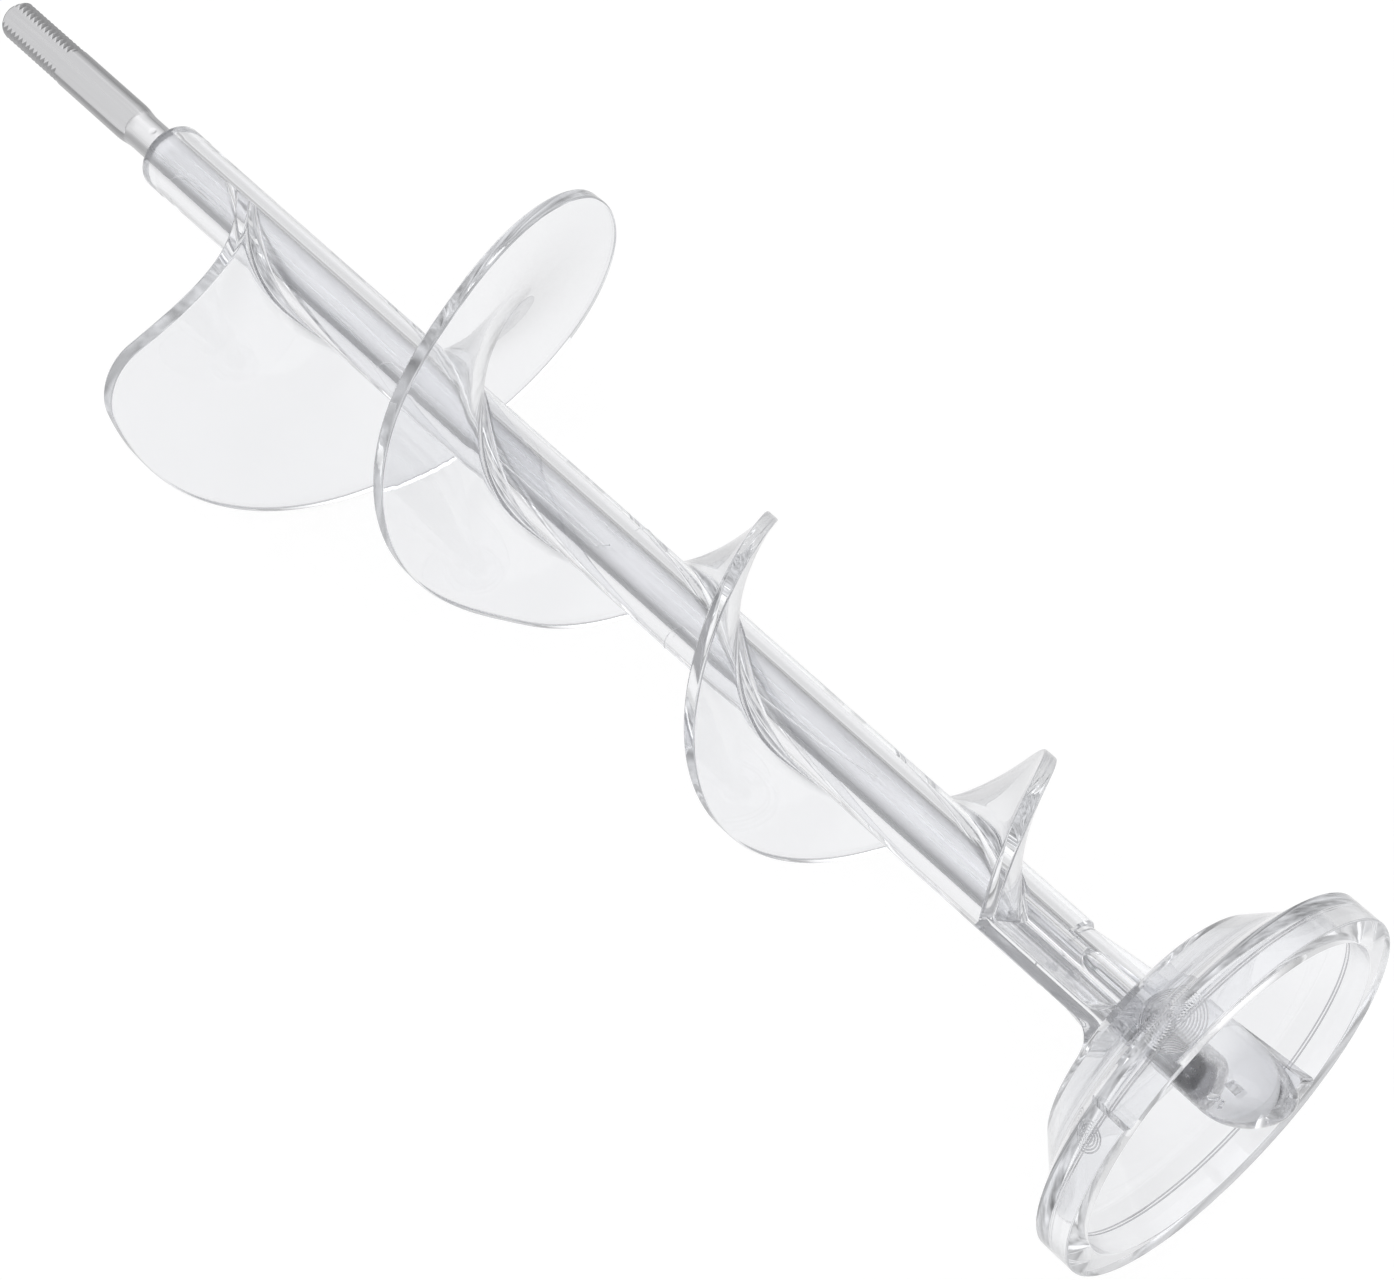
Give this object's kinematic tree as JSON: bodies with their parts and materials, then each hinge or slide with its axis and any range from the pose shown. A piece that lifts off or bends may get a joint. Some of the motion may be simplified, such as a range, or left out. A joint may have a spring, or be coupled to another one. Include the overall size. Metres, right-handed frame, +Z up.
{
  "type": "ice dispenser auger",
  "caption": "Clear moulded right-hand screw on a steel shaft, wide at the front and narrow behind, with a threaded flat-sided drive tip, a vane and an open drive cup with an eccentric dog.",
  "frame": {"origin": "on the rotation axis, in the plane of the drive cup's rim, where the bin's outlet collar carries the auger", "axes": "+X along the rotation axis from the shaft's tip to the open mouth of the drive cup, +Z up with the auger lying level as it does in use, +Y to the far side"},
  "size_m": [0.4374, 0.1198, 0.1122],
  "materials": {
    "steel": "drawn bar, fine lengthwise grain",
    "clear_plastic": "polished clear moulding"
  },
  "bodies": {
    "root": {"drive_shaft": "steel", "shaft_sleeve": "clear_plastic", "front_flight": "clear_plastic", "taper_flight": "clear_plastic", "middle_flight": "clear_plastic", "rear_flight": "clear_plastic", "drive_vane": "clear_plastic", "drive_cup": "clear_plastic", "drive_dog": "clear_plastic"}
  },
  "joints": []
}
